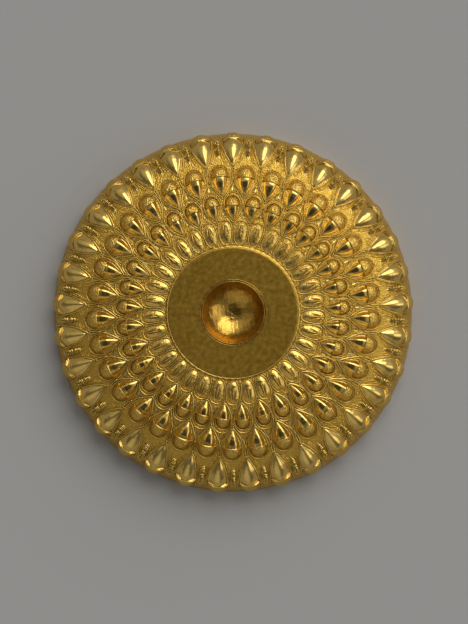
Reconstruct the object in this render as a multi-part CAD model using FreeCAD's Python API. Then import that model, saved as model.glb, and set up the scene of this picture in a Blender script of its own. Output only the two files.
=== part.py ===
# Gold libation bowl of the omphalos kind, hammered from one sheet and worked in relief.
# It lies mouth down: the rim stands on z = 0 and the decorated underside faces +Z.
# The origin is the centre of the rim plane, and Z is the axis of the bowl.
# The sheet is given in four zones that meet face to face: lip, relief wall, collar and omphalos.
import FreeCAD, Part
import math
import os

os.makedirs("parts", exist_ok=True)

Vector = FreeCAD.Vector
UP = Vector(0, 0, 1)
SIDE = Vector(0, 1, 0)
ORIGIN = Vector(0, 0, 0)

# Driving dimensions, in millimetres and degrees
SECTORS = 33
PITCH = 360.0 / SECTORS
SHEET = 0.8
BOWL_HEIGHT = 36.0
LIP_ROLL = 0.6
COLLAR_RADIUS = 43.1
COLLAR_STEP = 1.5
COLLAR_BEVEL = 0.8
OMPHALOS_RADIUS = 19.6
OMPHALOS_DEPTH = 12.0
OMPHALOS_RIM = 2.0
RIM_EASE = 0.5
DOME_CHORDS = 4

# The relief stands in four rows between these circles. The ground falls straight under the three
# inner rows, each steeper than the last, and turns down round the shoulder under the outer row.
# All zones are hammered in the same narrow flats, two to a pitch, so they meet exactly.
WALL_RADIUS = 115.3
ROW_EDGES = (COLLAR_RADIUS, 58.3, 74.9, 94.4, WALL_RADIUS)
ROW_SLOPES = (5.0, 9.0, 14.0)
EDGE_SLOPES = (0.0, 7.0, 11.5, 17.0, 76.0)
SHOULDER = 3
SHOULDER_FLATS = 4
GROUND_FLATS = 2
GROUND_DEPTH = 9.0
FIRST_EDGE = SECTORS / 4
TOUCHING = 1e-6

# Crowns across a raised body, from its edge to its middle: share of half width, share of height
NUT_CROWN = ((1.0, 0.0), (0.56, 0.97))
CUP_CROWN = ((1.0, 0.0), (0.62, 0.92))
ROOF_CROWN = ((1.0, 0.0), (0.0, 1.0))
BEECHNUT_CROWN = ((1.0, 0.0), (0.68, 0.78), (0.34, 0.45), (0.0, 1.0))
ROOT = 0.45

# Stations along a raised body: share of its length, share of half width, share of height.
# The ends are points at the depth of the root, so the body shows from a little further in.
NUT_STATIONS = ((-0.03, 0.0, 0.0), (0.3, 0.77, 0.77), (0.64, 1.0, 1.0))
CUP_STATIONS = ((0.6, 1.07, 1.16), (0.88, 0.88, 0.95), (1.03, 0.0, 0.0))
HOLLOW_STATIONS = ((0.05, 0.0, 0.0), (0.55, 0.72, 0.8), (0.95, 0.0, 0.0))
BEECHNUT_STATIONS = ((-0.06, 0.0, 0.0), (0.32, 0.92, 0.92), (0.7, 0.92, 0.92), (1.04, 0.0, 0.0))
BODY_STATIONS = ((-0.08, 0.0, 0.0), (0.35, 0.7, 0.8), (0.75, 1.0, 1.0), (1.0, 0.0, 0.0))

# Each row of fruit: tip and far end as radii on the ground, half width and height.
# Only the two larger rows stand so high that the punch left a hollow behind them.
INNER_ROW = dict(tip=58.8, end=74.3, half_width=4.2, height=3.3, phase=0.0, hollow=False)
MIDDLE_ROW = dict(tip=75.6, end=93.6, half_width=5.3, height=4.0, phase=0.5, hollow=True)
OUTER_ROW = dict(tip=95.3, end=114.8, half_width=6.6, height=3.7, phase=0.0, hollow=True)
BEECHNUT_ROW = dict(tip=44.8, end=57.6, half_width=3.7, height=1.6, phase=0.5)

# Bees stand between the acorns of the outer row, heads to the rim. The places along a wing are given
# by the radius and the distance from the bee's middle.
BEE = dict(tip=99.5, end=113.2, half_width=1.5, height=1.1)
BEE_PHASE = 0.5
WING_ROOT = (109.5, 0.5)
WING_MIDDLE = (103.2, 3.0)
WING_TIP = (96.8, 5.2)
WING_HALF_WIDTH = 1.3
WING_HEIGHT = 0.7


def slope_vector(slope):
    """Outward normal of ground that falls away at a slope in degrees."""
    turn = math.radians(slope)
    return Vector(math.sin(turn), 0, math.cos(turn))


def edge_points():
    """Points of the ground at the row edges, and the radius of the arc that ends it."""
    points = [Vector(COLLAR_RADIUS, 0, BOWL_HEIGHT - COLLAR_STEP)]
    for outer, slope in zip(ROW_EDGES[1:], ROW_SLOPES):
        last = points[-1]
        points.append(Vector(outer, 0, last.z - (outer - last.x) * math.tan(math.radians(slope))))
    turn = slope_vector(EDGE_SLOPES[SHOULDER + 1]) - slope_vector(EDGE_SLOPES[SHOULDER])
    radius = (WALL_RADIUS - points[SHOULDER].x) / turn.x
    points.append(points[SHOULDER] + turn * radius)
    return points, radius


EDGE_POINTS, SHOULDER_ARC = edge_points()
SHOULDER_CENTRE = EDGE_POINTS[SHOULDER] - slope_vector(EDGE_SLOPES[SHOULDER]) * SHOULDER_ARC
LIP_HEIGHT = EDGE_POINTS[-1].z


def ground_slope(radius):
    """Slope of the ground at a radius, in degrees."""
    if radius > ROW_EDGES[SHOULDER]:
        return math.degrees(math.asin((radius - SHOULDER_CENTRE.x) / SHOULDER_ARC))
    return ROW_SLOPES[max(index for index in range(SHOULDER) if ROW_EDGES[index] <= radius)]


def ground_point(radius, sink=0.0):
    """Point of the ground in the XZ plane at a radius, sunk under it."""
    normal = slope_vector(ground_slope(radius))
    if radius > ROW_EDGES[SHOULDER]:
        return SHOULDER_CENTRE + normal * (SHOULDER_ARC - sink)
    start = EDGE_POINTS[max(index for index in range(SHOULDER) if ROW_EDGES[index] <= radius)]
    height = start.z - (radius - start.x) * normal.x / normal.z
    return Vector(radius, 0, height) - normal * sink


def places(*pairs):
    """Points of the XZ plane from (radius, height) pairs."""
    return [Vector(radius, 0, height) for radius, height in pairs]


def ground_line(row, inset):
    """Points of the ground's profile under a row, moved in by inset, from the collar's side."""
    first, last = EDGE_SLOPES[row], EDGE_SLOPES[row + 1]
    start, end = EDGE_POINTS[row], EDGE_POINTS[row + 1]
    if row < SHOULDER:
        return [start - slope_vector(first) * inset, end - slope_vector(last) * inset]
    slopes = [first + (last - first) * step / SHOULDER_FLATS for step in range(SHOULDER_FLATS)]
    line = [SHOULDER_CENTRE + slope_vector(slope) * (SHOULDER_ARC - inset) for slope in slopes]
    return line + [end - Vector(inset / slope_vector(last).x, 0, 0)]


def flats_through(corners):
    """A flat face through the corners, or two triangles where four corners don't lie in one plane."""
    if len(corners) == 4:
        first, second, third = [corner - corners[0] for corner in corners[1:]]
        if abs(first.cross(second).dot(third)) > TOUCHING:
            return flats_through(corners[:3]) + flats_through([corners[0]] + corners[2:])
    return [Part.Face(Part.makePolygon(corners + corners[:1]))]


def flats_between(near, far):
    """Flat faces between two sections of equal counts, or between a section and a single point."""
    faces = []
    count = max(len(near), len(far))
    for index in range(count):
        after = index + 1
        loop = [near[index % len(near)], near[after % len(near)]]
        loop += [far[after % len(far)], far[index % len(far)]]
        corners = [corner for step, corner in enumerate(loop) if (corner - loop[step - 1]).Length > TOUCHING]
        if len(corners) > 2:
            faces += flats_through(corners)
    return faces


def solid_from(faces):
    """Solid from the faces that close it, with its faces looking outward."""
    solid = Part.Solid(Part.Shell(faces))
    if solid.Volume < 0:
        solid.reverse()
    return solid


def faceted(sections):
    """Solid of flat faces through sections in order, closed at both ends."""
    faces = []
    for near, far in zip(sections, sections[1:]):
        faces += flats_between(near, far)
    for section in (sections[0], sections[-1]):
        if len(section) > 1:
            faces.append(Part.Face(Part.makePolygon(section + section[:1])))
    return solid_from(faces)


def turned_on(points, pitches):
    """Points turned about the bowl's axis by a number of pitches."""
    turn = FreeCAD.Rotation(UP, PITCH * pitches)
    return [turn.multVec(point) for point in points]


def ring(outline):
    """Ring with a closed outline in the XZ plane, in the same flats as the relief wall."""
    flats = SECTORS * GROUND_FLATS
    sections = [turned_on(outline, FIRST_EDGE + step / GROUND_FLATS) for step in range(flats)]
    faces = []
    for near, far in zip(sections, sections[1:] + sections[:1]):
        faces += flats_between(near, far)
    return solid_from(faces)


def ground_sector(row, inset):
    """One pitch of the ground under a row, moved in by inset, on a deep base."""
    outline = ground_line(row, inset)
    base = EDGE_POINTS[row] - slope_vector(EDGE_SLOPES[row]) * GROUND_DEPTH
    if row == SHOULDER:
        outline += [Vector(base.x, 0, LIP_HEIGHT), base]
    else:
        outline += [EDGE_POINTS[row + 1] - slope_vector(EDGE_SLOPES[row + 1]) * GROUND_DEPTH, base]
    return faceted([turned_on(outline, step / GROUND_FLATS - 0.5) for step in range(GROUND_FLATS + 1)])


def along_ground(row, share):
    """Radius at a share of the way from a row's tip circle to its end, measured along the ground."""
    if row["tip"] > ROW_EDGES[SHOULDER]:
        first = ground_slope(row["tip"])
        slope = first + share * (ground_slope(row["end"]) - first)
        return SHOULDER_CENTRE.x + SHOULDER_ARC * slope_vector(slope).x
    return row["tip"] + share * (row["end"] - row["tip"])


def crown_section(radius, half_width, height, crown, sink):
    """Corners across the relief at a radius: a crown, with its flanks carried on down to a root."""
    if half_width == 0.0:
        return [ground_point(radius, sink + ROOT)]
    centre = ground_point(radius, sink)
    normal = slope_vector(ground_slope(radius))
    edge, rise = crown[1]
    spread = (1.0 - edge) / rise * ROOT / height
    half = [(1.0 + spread, -ROOT / height)] + list(crown[1:])
    points = [centre + SIDE * (half_width * across) + normal * (height * up) for across, up in half]
    other = [centre - SIDE * (half_width * across) + normal * (height * up) for across, up in half]
    return points + [corner for corner in reversed(other) if (corner - points[-1]).Length > TOUCHING]


def raised(row, stations, crown, sink=0.0):
    """Solid that stands along the stations of one fruit or bee, on the ground or sunk under it."""
    sections = []
    for share, width, rise in stations:
        radius = along_ground(row, share)
        sections.append(crown_section(radius, row["half_width"] * width, row["height"] * rise, crown, sink))
    return faceted(sections)


def acorn_sector(row, place):
    """One pitch of an acorn row: the nut in its cup, and the hollow that the punch left."""
    bodies = [raised(row, NUT_STATIONS, NUT_CROWN), raised(row, CUP_STATIONS, CUP_CROWN)]
    room = [ground_sector(place, SHEET)]
    if row["hollow"]:
        room.append(raised(row, HOLLOW_STATIONS, ROOF_CROWN, SHEET))
    return ground_sector(place, 0.0).fuse(bodies).cut(room)


def beechnut_sector(place):
    """One pitch of the beechnut row: three ribs that run together at both points."""
    nut = raised(BEECHNUT_ROW, BEECHNUT_STATIONS, BEECHNUT_CROWN)
    return ground_sector(place, 0.0).fuse(nut).cut(ground_sector(place, SHEET))


def wing(sign):
    """One wing of a bee: a low roof with pointed ends that spreads from the body to the tail's side."""
    line = (WING_ROOT, WING_MIDDLE, WING_TIP)
    root, middle, tip = [ground_point(radius, ROOT) + SIDE * (sign * across) for radius, across in line]
    normal = slope_vector(ground_slope(WING_MIDDLE[0]))
    outward = normal.cross(tip - root).normalize() * WING_HALF_WIDTH
    section = [middle + outward, middle + normal * (WING_HEIGHT + ROOT), middle - outward]
    return faceted([[root], section, [tip]])


def bee():
    """A bee with its head to the rim, a pointed tail and two wings."""
    return raised(BEE, BODY_STATIONS, ROOF_CROWN).fuse([wing(1), wing(-1)])


def around(sector, phase):
    """Copies of a sector at every pitch round the bowl, turned on by phase of one pitch."""
    copies = []
    for index in range(SECTORS):
        copy = sector.copy()
        copy.rotate(ORIGIN, UP, PITCH * (index + phase + FIRST_EDGE))
        copies.append(copy)
    return copies


def relief_wall():
    """The wall between lip and collar, with the relief in front and its hollows behind."""
    sectors = around(beechnut_sector(0), BEECHNUT_ROW["phase"])
    for place, row in ((1, INNER_ROW), (2, MIDDLE_ROW), (3, OUTER_ROW)):
        sectors += around(acorn_sector(row, place), row["phase"])
    sectors += around(bee(), BEE_PHASE)
    return sectors[0].fuse(sectors[1:]).Solids[0]


def lip():
    """The plain band at the mouth, thickened to a low roll."""
    outer = WALL_RADIUS
    inner = outer - SHEET
    rolled = outer + LIP_ROLL
    top = LIP_HEIGHT
    return ring(places((inner, 0.0), (inner, top), (outer, top), (rolled, top - LIP_ROLL), (rolled, 0.0)))


def collar():
    """The flat ring that the bowl stands on in use, with a stepped outer edge."""
    inner = OMPHALOS_RADIUS + OMPHALOS_RIM
    outer = COLLAR_RADIUS
    low = BOWL_HEIGHT - COLLAR_STEP
    under = BOWL_HEIGHT - SHEET
    return ring(places(
        (inner, under), (inner, BOWL_HEIGHT), (outer - COLLAR_BEVEL, BOWL_HEIGHT), (outer, low + SHEET / 2),
        (outer, low - SHEET), (outer - SHEET, low - SHEET), (outer - SHEET - COLLAR_BEVEL, under)))


def bowl_curve(radius, centre, turn):
    """Points on an arc about a centre on the axis, from the lowest point out to an angle."""
    points = []
    for step in range(DOME_CHORDS + 1):
        angle = turn * step / DOME_CHORDS
        points.append(Vector(radius * math.sin(angle), 0, centre - radius * math.cos(angle)))
    return points


def omphalos():
    """The boss: a round hollow seen from here and a dome inside the bowl, with a flat rim of its own."""
    hollow = (OMPHALOS_RADIUS ** 2 + OMPHALOS_DEPTH ** 2) / (2 * OMPHALOS_DEPTH)
    centre = BOWL_HEIGHT - OMPHALOS_DEPTH + hollow
    rim = OMPHALOS_RADIUS + OMPHALOS_RIM
    under = BOWL_HEIGHT - SHEET
    dome = hollow + SHEET
    outline = bowl_curve(hollow, centre, math.asin((OMPHALOS_RADIUS - RIM_EASE / 2) / hollow))
    outline += places((OMPHALOS_RADIUS + RIM_EASE, BOWL_HEIGHT), (rim, BOWL_HEIGHT), (rim, under))
    return ring(outline + bowl_curve(dome, centre, math.acos((centre - under) / dome))[::-1])


NODES = dict(lip=lip, relief_wall=relief_wall, collar=collar, omphalos=omphalos)

for name, build in NODES.items():
    shape = build()
    print(name, shape.ShapeType, len(shape.Solids), shape.isValid(), round(shape.Volume), len(shape.Faces))
    shape.exportStep("parts/" + name + ".step")
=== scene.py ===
"""A gold phiale lying mouth down: the looks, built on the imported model.

The bowl is one sheet of gold. Its underside is worked in relief with three rows of acorns, a row of
beechnuts and a ring of bees, round a plain collar and the hollow boss in the middle. Every length
in this file is in millimetres, and turns into metres where a mesh is made.
"""
import logging
import math
from dataclasses import dataclass, field
from enum import Enum

import bpy
import numpy as np
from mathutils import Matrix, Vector


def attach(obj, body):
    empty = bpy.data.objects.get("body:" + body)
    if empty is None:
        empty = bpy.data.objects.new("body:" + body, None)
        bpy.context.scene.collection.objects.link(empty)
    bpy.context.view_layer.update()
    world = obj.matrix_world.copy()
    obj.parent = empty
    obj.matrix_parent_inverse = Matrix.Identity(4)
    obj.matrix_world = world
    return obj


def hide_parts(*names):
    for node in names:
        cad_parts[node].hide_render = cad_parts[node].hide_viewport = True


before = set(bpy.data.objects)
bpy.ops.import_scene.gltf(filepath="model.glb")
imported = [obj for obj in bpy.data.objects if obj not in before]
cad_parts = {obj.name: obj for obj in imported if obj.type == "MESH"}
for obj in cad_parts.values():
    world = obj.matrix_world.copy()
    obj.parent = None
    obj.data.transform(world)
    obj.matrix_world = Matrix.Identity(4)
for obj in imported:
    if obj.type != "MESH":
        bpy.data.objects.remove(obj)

LOG = logging.getLogger("phiale")
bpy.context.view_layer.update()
MM = 0.001
SECTORS = 33
PITCH = 2.0 * math.pi / SECTORS
BODY = "root"
SEED = 1234


class Zone(Enum):
    """The zones of the sheet, by the CAD node that each one belongs to."""

    LIP = "lip"
    WALL = "relief_wall"
    COLLAR = "collar"
    OMPHALOS = "omphalos"


class Slot(Enum):
    """The record's material slots."""

    PLANISHED = "planished_gold"
    CHASED = "chased_gold"
    SCRAPED = "scraped_gold"
    WORN = "worn_gold"


# Helpers for curves and colours

def smooth_line(x: np.ndarray, knots: tuple, values: tuple) -> np.ndarray:
    """Runs a smooth line without overshoot through a few knots.

    Args:
        x: Where the line is wanted.
        knots: The places of the knots, rising.
        values: The line's value at each knot.

    Returns:
        The line's value at each x, level beyond the ends.
    """
    xs = np.asarray(knots, float)
    ys = np.asarray(values, float)
    rise = np.diff(ys) / np.diff(xs)
    product = rise[:-1] * rise[1:]
    total = rise[:-1] + rise[1:]
    inner = np.where(product > 0, 2.0 * product / np.where(total == 0, 1.0, total), 0.0)
    slope = np.concatenate([rise[:1], inner, rise[-1:]])
    x = np.clip(x, xs[0], xs[-1])
    k = np.clip(np.searchsorted(xs, x, side="right") - 1, 0, len(xs) - 2)
    step = xs[k + 1] - xs[k]
    t = (x - xs[k]) / step
    start = (1 + 2 * t) * (1 - t) ** 2 * ys[k] + t * (1 - t) ** 2 * step * slope[k]
    end = t ** 2 * (3 - 2 * t) * ys[k + 1] + t ** 2 * (t - 1) * step * slope[k + 1]
    return start + end


def soft_max(a: np.ndarray, b: np.ndarray, ease: float) -> np.ndarray:
    """Returns the higher of two values, with the corner between them eased."""
    return ease * np.logaddexp(a / ease, b / ease)


def linear(colour: str) -> tuple[float, float, float, float]:
    """Turns an sRGB hex colour into the linear colour that a shader wants.

    Args:
        colour: The colour as #RRGGBB.

    Returns:
        Linear red, green and blue, with an alpha of 1.
    """
    parts = [int(colour[k:k + 2], 16) / 255.0 for k in (1, 3, 5)]
    lin = [c / 12.92 if c <= 0.04045 else ((c + 0.055) / 1.055) ** 2.4 for c in parts]
    return lin[0], lin[1], lin[2], 1.0


# The bare sheet

@dataclass(frozen=True)
class Sheet:
    """The smooth line of the bare sheet, from the collar's edge over the shoulder to the lip.

    Places on it are given by the arc length from the collar's edge and the turn about the axis.
    """

    edge_radii: tuple = (43.1, 58.3, 74.9, 94.4)
    edge_slopes: tuple = (2.5, 7.0, 11.5, 17.0)
    shoulder_slope: float = 76.0
    lip_radius: float = 115.3
    lip_height: float = 3.655
    step: float = 0.05
    thickness: float = 0.8
    lines: dict = field(default_factory=dict)

    def line(self) -> dict:
        """Works out the line once: arc length, radius, height and slope at close steps.

        Returns:
            The arrays place, radius, height and slope.
        """
        if self.lines:
            return self.lines
        first = math.radians(self.edge_slopes[-1])
        last = math.radians(self.shoulder_slope)
        bend = (self.lip_radius - self.edge_radii[-1]) / (math.sin(last) - math.sin(first))
        flat_count = int((self.edge_radii[-1] - self.edge_radii[0]) / self.step)
        radius = np.linspace(self.edge_radii[0], self.edge_radii[-1], flat_count)
        slope = np.radians(np.interp(radius, self.edge_radii, self.edge_slopes))
        arc_slope = np.linspace(first, last, int(bend * (last - first) / self.step))[1:]
        arc_radius = self.edge_radii[-1] + bend * (np.sin(arc_slope) - math.sin(first))
        run = np.diff(radius)
        middle = 0.5 * (slope[1:] + slope[:-1])
        flat_place = np.concatenate([[0.0], np.cumsum(run / np.cos(middle))])
        flat_height = -np.concatenate([[0.0], np.cumsum(run * np.tan(middle))])
        arc_place = flat_place[-1] + bend * (arc_slope - first)
        arc_height = flat_height[-1] - bend * (math.cos(first) - np.cos(arc_slope))
        height = np.concatenate([flat_height, arc_height])
        self.lines["place"] = np.concatenate([flat_place, arc_place])
        self.lines["radius"] = np.concatenate([radius, arc_radius])
        self.lines["height"] = height - height[-1] + self.lip_height
        self.lines["slope"] = np.concatenate([slope, arc_slope])
        return self.lines

    def place_of(self, radius: float) -> float:
        """Returns the arc length at which the bare sheet has this radius."""
        return float(np.interp(radius, self.line()["radius"], self.line()["place"]))

    def places(self, radii: np.ndarray) -> np.ndarray:
        """Returns the arc lengths at which the bare sheet has these radii."""
        return np.interp(radii, self.line()["radius"], self.line()["place"])

    def radius(self, place: np.ndarray) -> np.ndarray:
        """Returns the bare sheet's radius at each arc length."""
        return np.interp(place, self.line()["place"], self.line()["radius"])

    def point(self, place: np.ndarray, turn: np.ndarray, proud: np.ndarray) -> np.ndarray:
        """Gives points that stand proud of the bare sheet.

        Args:
            place: Arc length of each point's foot.
            turn: Angle about the axis, clockwise from +Y as the camera sees it.
            proud: Distance outwards along the sheet's normal.

        Returns:
            The points, one row each.
        """
        line = self.line()
        slope = np.interp(place, line["place"], line["slope"])
        radius = np.interp(place, line["place"], line["radius"]) + proud * np.sin(slope)
        height = np.interp(place, line["place"], line["height"]) + proud * np.cos(slope)
        return np.stack([radius * np.sin(turn), radius * np.cos(turn), height], axis=-1)


# The rows of raised fruit

@dataclass(frozen=True)
class FruitRow:
    """A row of fruit raised from the sheet, each with its tip towards the boss.

    Every fruit differs a little in place, size and lean, as hand work does.
    """

    sheet: Sheet
    phase: float
    tip_radius: float
    end_radius: float
    half_width: float
    height: float
    seed: int
    unevenness: float = 1.0
    shift_mm: float = 0.18
    turn_rad: float = 0.003
    lean: float = 0.014
    breadth: float = 0.014
    rise: float = 0.030

    def jitter(self) -> dict:
        """Draws each fruit's own small differences.

        Returns:
            Arrays of shift, turn, lean, breadth and rise, one value a fruit.
        """
        draw = np.random.default_rng(SEED + self.seed)
        amount = self.unevenness
        return {
            "shift": amount * draw.normal(0.0, self.shift_mm, SECTORS),
            "turn": amount * draw.normal(0.0, self.turn_rad, SECTORS),
            "lean": amount * draw.normal(0.0, self.lean, SECTORS),
            "breadth": 1.0 + amount * draw.normal(0.0, self.breadth, SECTORS),
            "rise": 1.0 + amount * draw.normal(0.0, self.rise, SECTORS),
        }

    def length(self) -> float:
        """Returns the length of a fruit along the sheet."""
        return self.sheet.place_of(self.end_radius) - self.sheet.place_of(self.tip_radius)

    def local(self, place: np.ndarray, turn: np.ndarray) -> tuple:
        """Finds the nearest fruit and the place within it.

        Args:
            place: Arc lengths on the sheet.
            turn: Angles about the axis.

        Returns:
            The fruit's number, the share of its length from its tip, and the distance across.
        """
        own = self.jitter()
        step = turn / PITCH - self.phase
        near = np.rint(step)
        which = near.astype(int) % SECTORS
        share = (place - self.sheet.place_of(self.tip_radius) - own["shift"][which]) / self.length()
        angle = (step - near) * PITCH - own["turn"][which]
        across = angle * self.sheet.radius(place) - own["lean"][which] * (share - 0.5) * self.length()
        return which, share, across / own["breadth"][which]

    def on_sheet(self, share: np.ndarray, across: np.ndarray) -> tuple:
        """Lays the same outline over every fruit of the row.

        Args:
            share: Shares of the length from the tip, one for each point of the outline.
            across: Distances across, one for each point.

        Returns:
            Arc lengths and angles, a row for each fruit.
        """
        own = self.jitter()
        number = np.arange(SECTORS)[:, None]
        start = self.sheet.place_of(self.tip_radius)
        place = start + own["shift"][:, None] + share[None, :] * self.length()
        offset = across[None, :] * own["breadth"][:, None]
        offset = offset + own["lean"][:, None] * (share[None, :] - 0.5) * self.length()
        turn = (number + self.phase) * PITCH + own["turn"][:, None] + offset / self.sheet.radius(place)
        return place, turn


@dataclass(frozen=True)
class AcornRow(FruitRow):
    """A row of acorns: a burnished nut with hollowed flanks in a round stippled cup."""

    cup_line: float = 0.6
    cup_rise: float = 1.10
    cup_width: float = 1.07
    cup_knots: tuple = (0.0, 0.35, 0.6, 0.8, 0.93, 1.0)
    cup_rises: tuple = (1.0, 0.97, 0.83, 0.55, 0.24, 0.0)
    nut_power: float = 0.85
    cup_power: float = 2.3
    least_width: float = 0.05
    nut_knots: tuple = (0.0, 0.25, 0.5, 0.8, 1.0)
    nut_rises: tuple = (0.12, 0.48, 0.77, 0.98, 1.0)
    across_knots: tuple = (0.0, 0.30, 0.50, 0.66, 0.82, 1.0)
    across_rises: tuple = (1.0, 0.985, 0.88, 0.58, 0.24, 0.0)

    def outline(self, share: np.ndarray) -> np.ndarray:
        """Returns the half width of nut and cup at each share of the length."""
        along = np.clip(share / self.cup_line, 0.0, 1.0)
        nut = np.sin(0.5 * math.pi * along) ** self.nut_power
        past = np.clip((share - self.cup_line) / (1.0 - self.cup_line), 0.0, 1.0)
        cup = self.cup_width * (1.0 - past ** self.cup_power) ** (1.0 / self.cup_power)
        return self.half_width * np.where(share > self.cup_line, cup, nut)

    def proud(self, place: np.ndarray, turn: np.ndarray) -> tuple[np.ndarray, ...]:
        """Works out how far the acorns stand above the bare sheet.

        Args:
            place: Arc lengths on the sheet.
            turn: Angles about the axis.

        Returns:
            The heights, 1 where the surface is a cup, and 1 where it is a burnished nut.
        """
        which, share, across = self.local(place, turn)
        width = np.maximum(self.outline(share), self.least_width)
        off = np.abs(across) / width
        along = np.clip(share / self.cup_line, 0.0, 1.0)
        rise = self.height * self.jitter()["rise"][which]
        nut = smooth_line(off, self.across_knots, self.across_rises)
        nut = nut * rise * smooth_line(along, self.nut_knots, self.nut_rises)
        past = np.clip((share - self.cup_line) / (1.0 - self.cup_line), 0.0, 1.0)
        wide = np.abs(across) / (self.half_width * self.cup_width)
        reach = (wide ** self.cup_power + past ** self.cup_power) ** (1.0 / self.cup_power)
        cup = rise * self.cup_rise * smooth_line(reach, self.cup_knots, self.cup_rises)
        in_cup = (share > self.cup_line) & (reach < 1.0)
        in_nut = (share > 0.0) & (share <= self.cup_line) & (off < 1.0)
        height = np.where(share > self.cup_line, cup, nut)
        outside = (share < 0.0) | (share > 1.0)
        return np.where(outside, 0.0, height), in_cup.astype(float), in_nut.astype(float)


@dataclass(frozen=True)
class OvalRow(FruitRow):
    """A row of low ovals: the beechnuts under their ribs, and the bees' bodies under their beads."""

    shares: tuple = (0.0, 0.12, 0.30, 0.52, 0.78, 0.93, 1.0)
    widths: tuple = (0.40, 0.74, 0.95, 1.0, 0.88, 0.55, 0.10)
    swell_shares: tuple = (0.0, 0.18, 0.5, 0.85, 1.0)
    swells: tuple = (0.25, 0.75, 1.0, 0.85, 0.3)
    fullness: float = 2.2
    polish_and_highlight: float = 0.7
    least_width: float = 0.05

    def outline(self, share: np.ndarray) -> np.ndarray:
        """Returns the half width of an oval at each share of the length."""
        return self.half_width * smooth_line(share, self.shares, self.widths)

    def proud(self, place: np.ndarray, turn: np.ndarray) -> tuple[np.ndarray, ...]:
        """Works out how far the ovals stand above the bare sheet.

        Args:
            place: Arc lengths on the sheet.
            turn: Angles about the axis.

        Returns:
            The heights, zeros, as there are no cups here, and how far each oval is burnished, which
            the finish also paints paler as a highlight.
        """
        which, share, across = self.local(place, turn)
        width = np.maximum(self.outline(share), self.least_width)
        off = np.abs(across) / width
        rise = self.height * self.jitter()["rise"][which]
        swell = smooth_line(share, self.swell_shares, self.swells)
        height = rise * swell * np.clip(1.0 - off ** self.fullness, 0.0, 1.0)
        inside = (share > 0.0) & (share < 1.0) & (off < 1.0)
        return np.where(inside, height, 0.0), np.zeros_like(height), self.polish_and_highlight * inside


@dataclass(frozen=True)
class Relief:
    """The whole relief of the wall: every row on the one sheet, with the marks of the hammer.

    The ease rounds the corner where a fruit meets the sheet, and leaves the bare sheet at its level.
    """

    sheet: Sheet
    rows: tuple
    ease: float = 0.12
    dent: float = 0.05
    ground_stipple: float = 0.75
    cup_polish_and_highlight: float = 0.35

    def proud(self, place: np.ndarray, turn: np.ndarray) -> tuple[np.ndarray, ...]:
        """Works out the height of the worked surface above the bare sheet.

        Args:
            place: Arc lengths on the sheet.
            turn: Angles about the axis.

        Returns:
            The heights, how strongly the surface is stippled, and how far it is burnished, which the
            finish also paints paler as a highlight.
        """
        height = np.zeros(np.broadcast(place, turn).shape)
        cups = np.zeros_like(height)
        nuts = np.zeros_like(height)
        for row in self.rows:
            own, cup, nut = row.proud(place, turn)
            height = np.maximum(height, own)
            cups = np.maximum(cups, cup)
            nuts = np.maximum(nuts, nut)
        height = soft_max(height, np.full_like(height, 0.5 * self.ease), self.ease)
        stipple = np.maximum(cups, self.ground_stipple * (1.0 - np.minimum(nuts, 1.0)))
        # How far each spot is burnished; the finish also paints it paler by this share, a painted
        # highlight.
        burnish_and_highlight = np.maximum(nuts * (1.0 - cups), self.cup_polish_and_highlight * cups)
        return height - self.ease + self.hand(place, turn), stipple, burnish_and_highlight

    def hand(self, place: np.ndarray, turn: np.ndarray) -> np.ndarray:
        """Returns the shallow dents that the hammer and punches leave all over the sheet."""
        wave = np.sin(1.9 * place + 5 * turn + 2.0 * np.sin(31 * turn + 0.4 * place))
        wave = wave + np.sin(1.1 * place - 57 * turn + 1.7 * np.sin(0.7 * place + 19 * turn))
        return 0.5 * self.dent * wave


# Meshes

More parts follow.
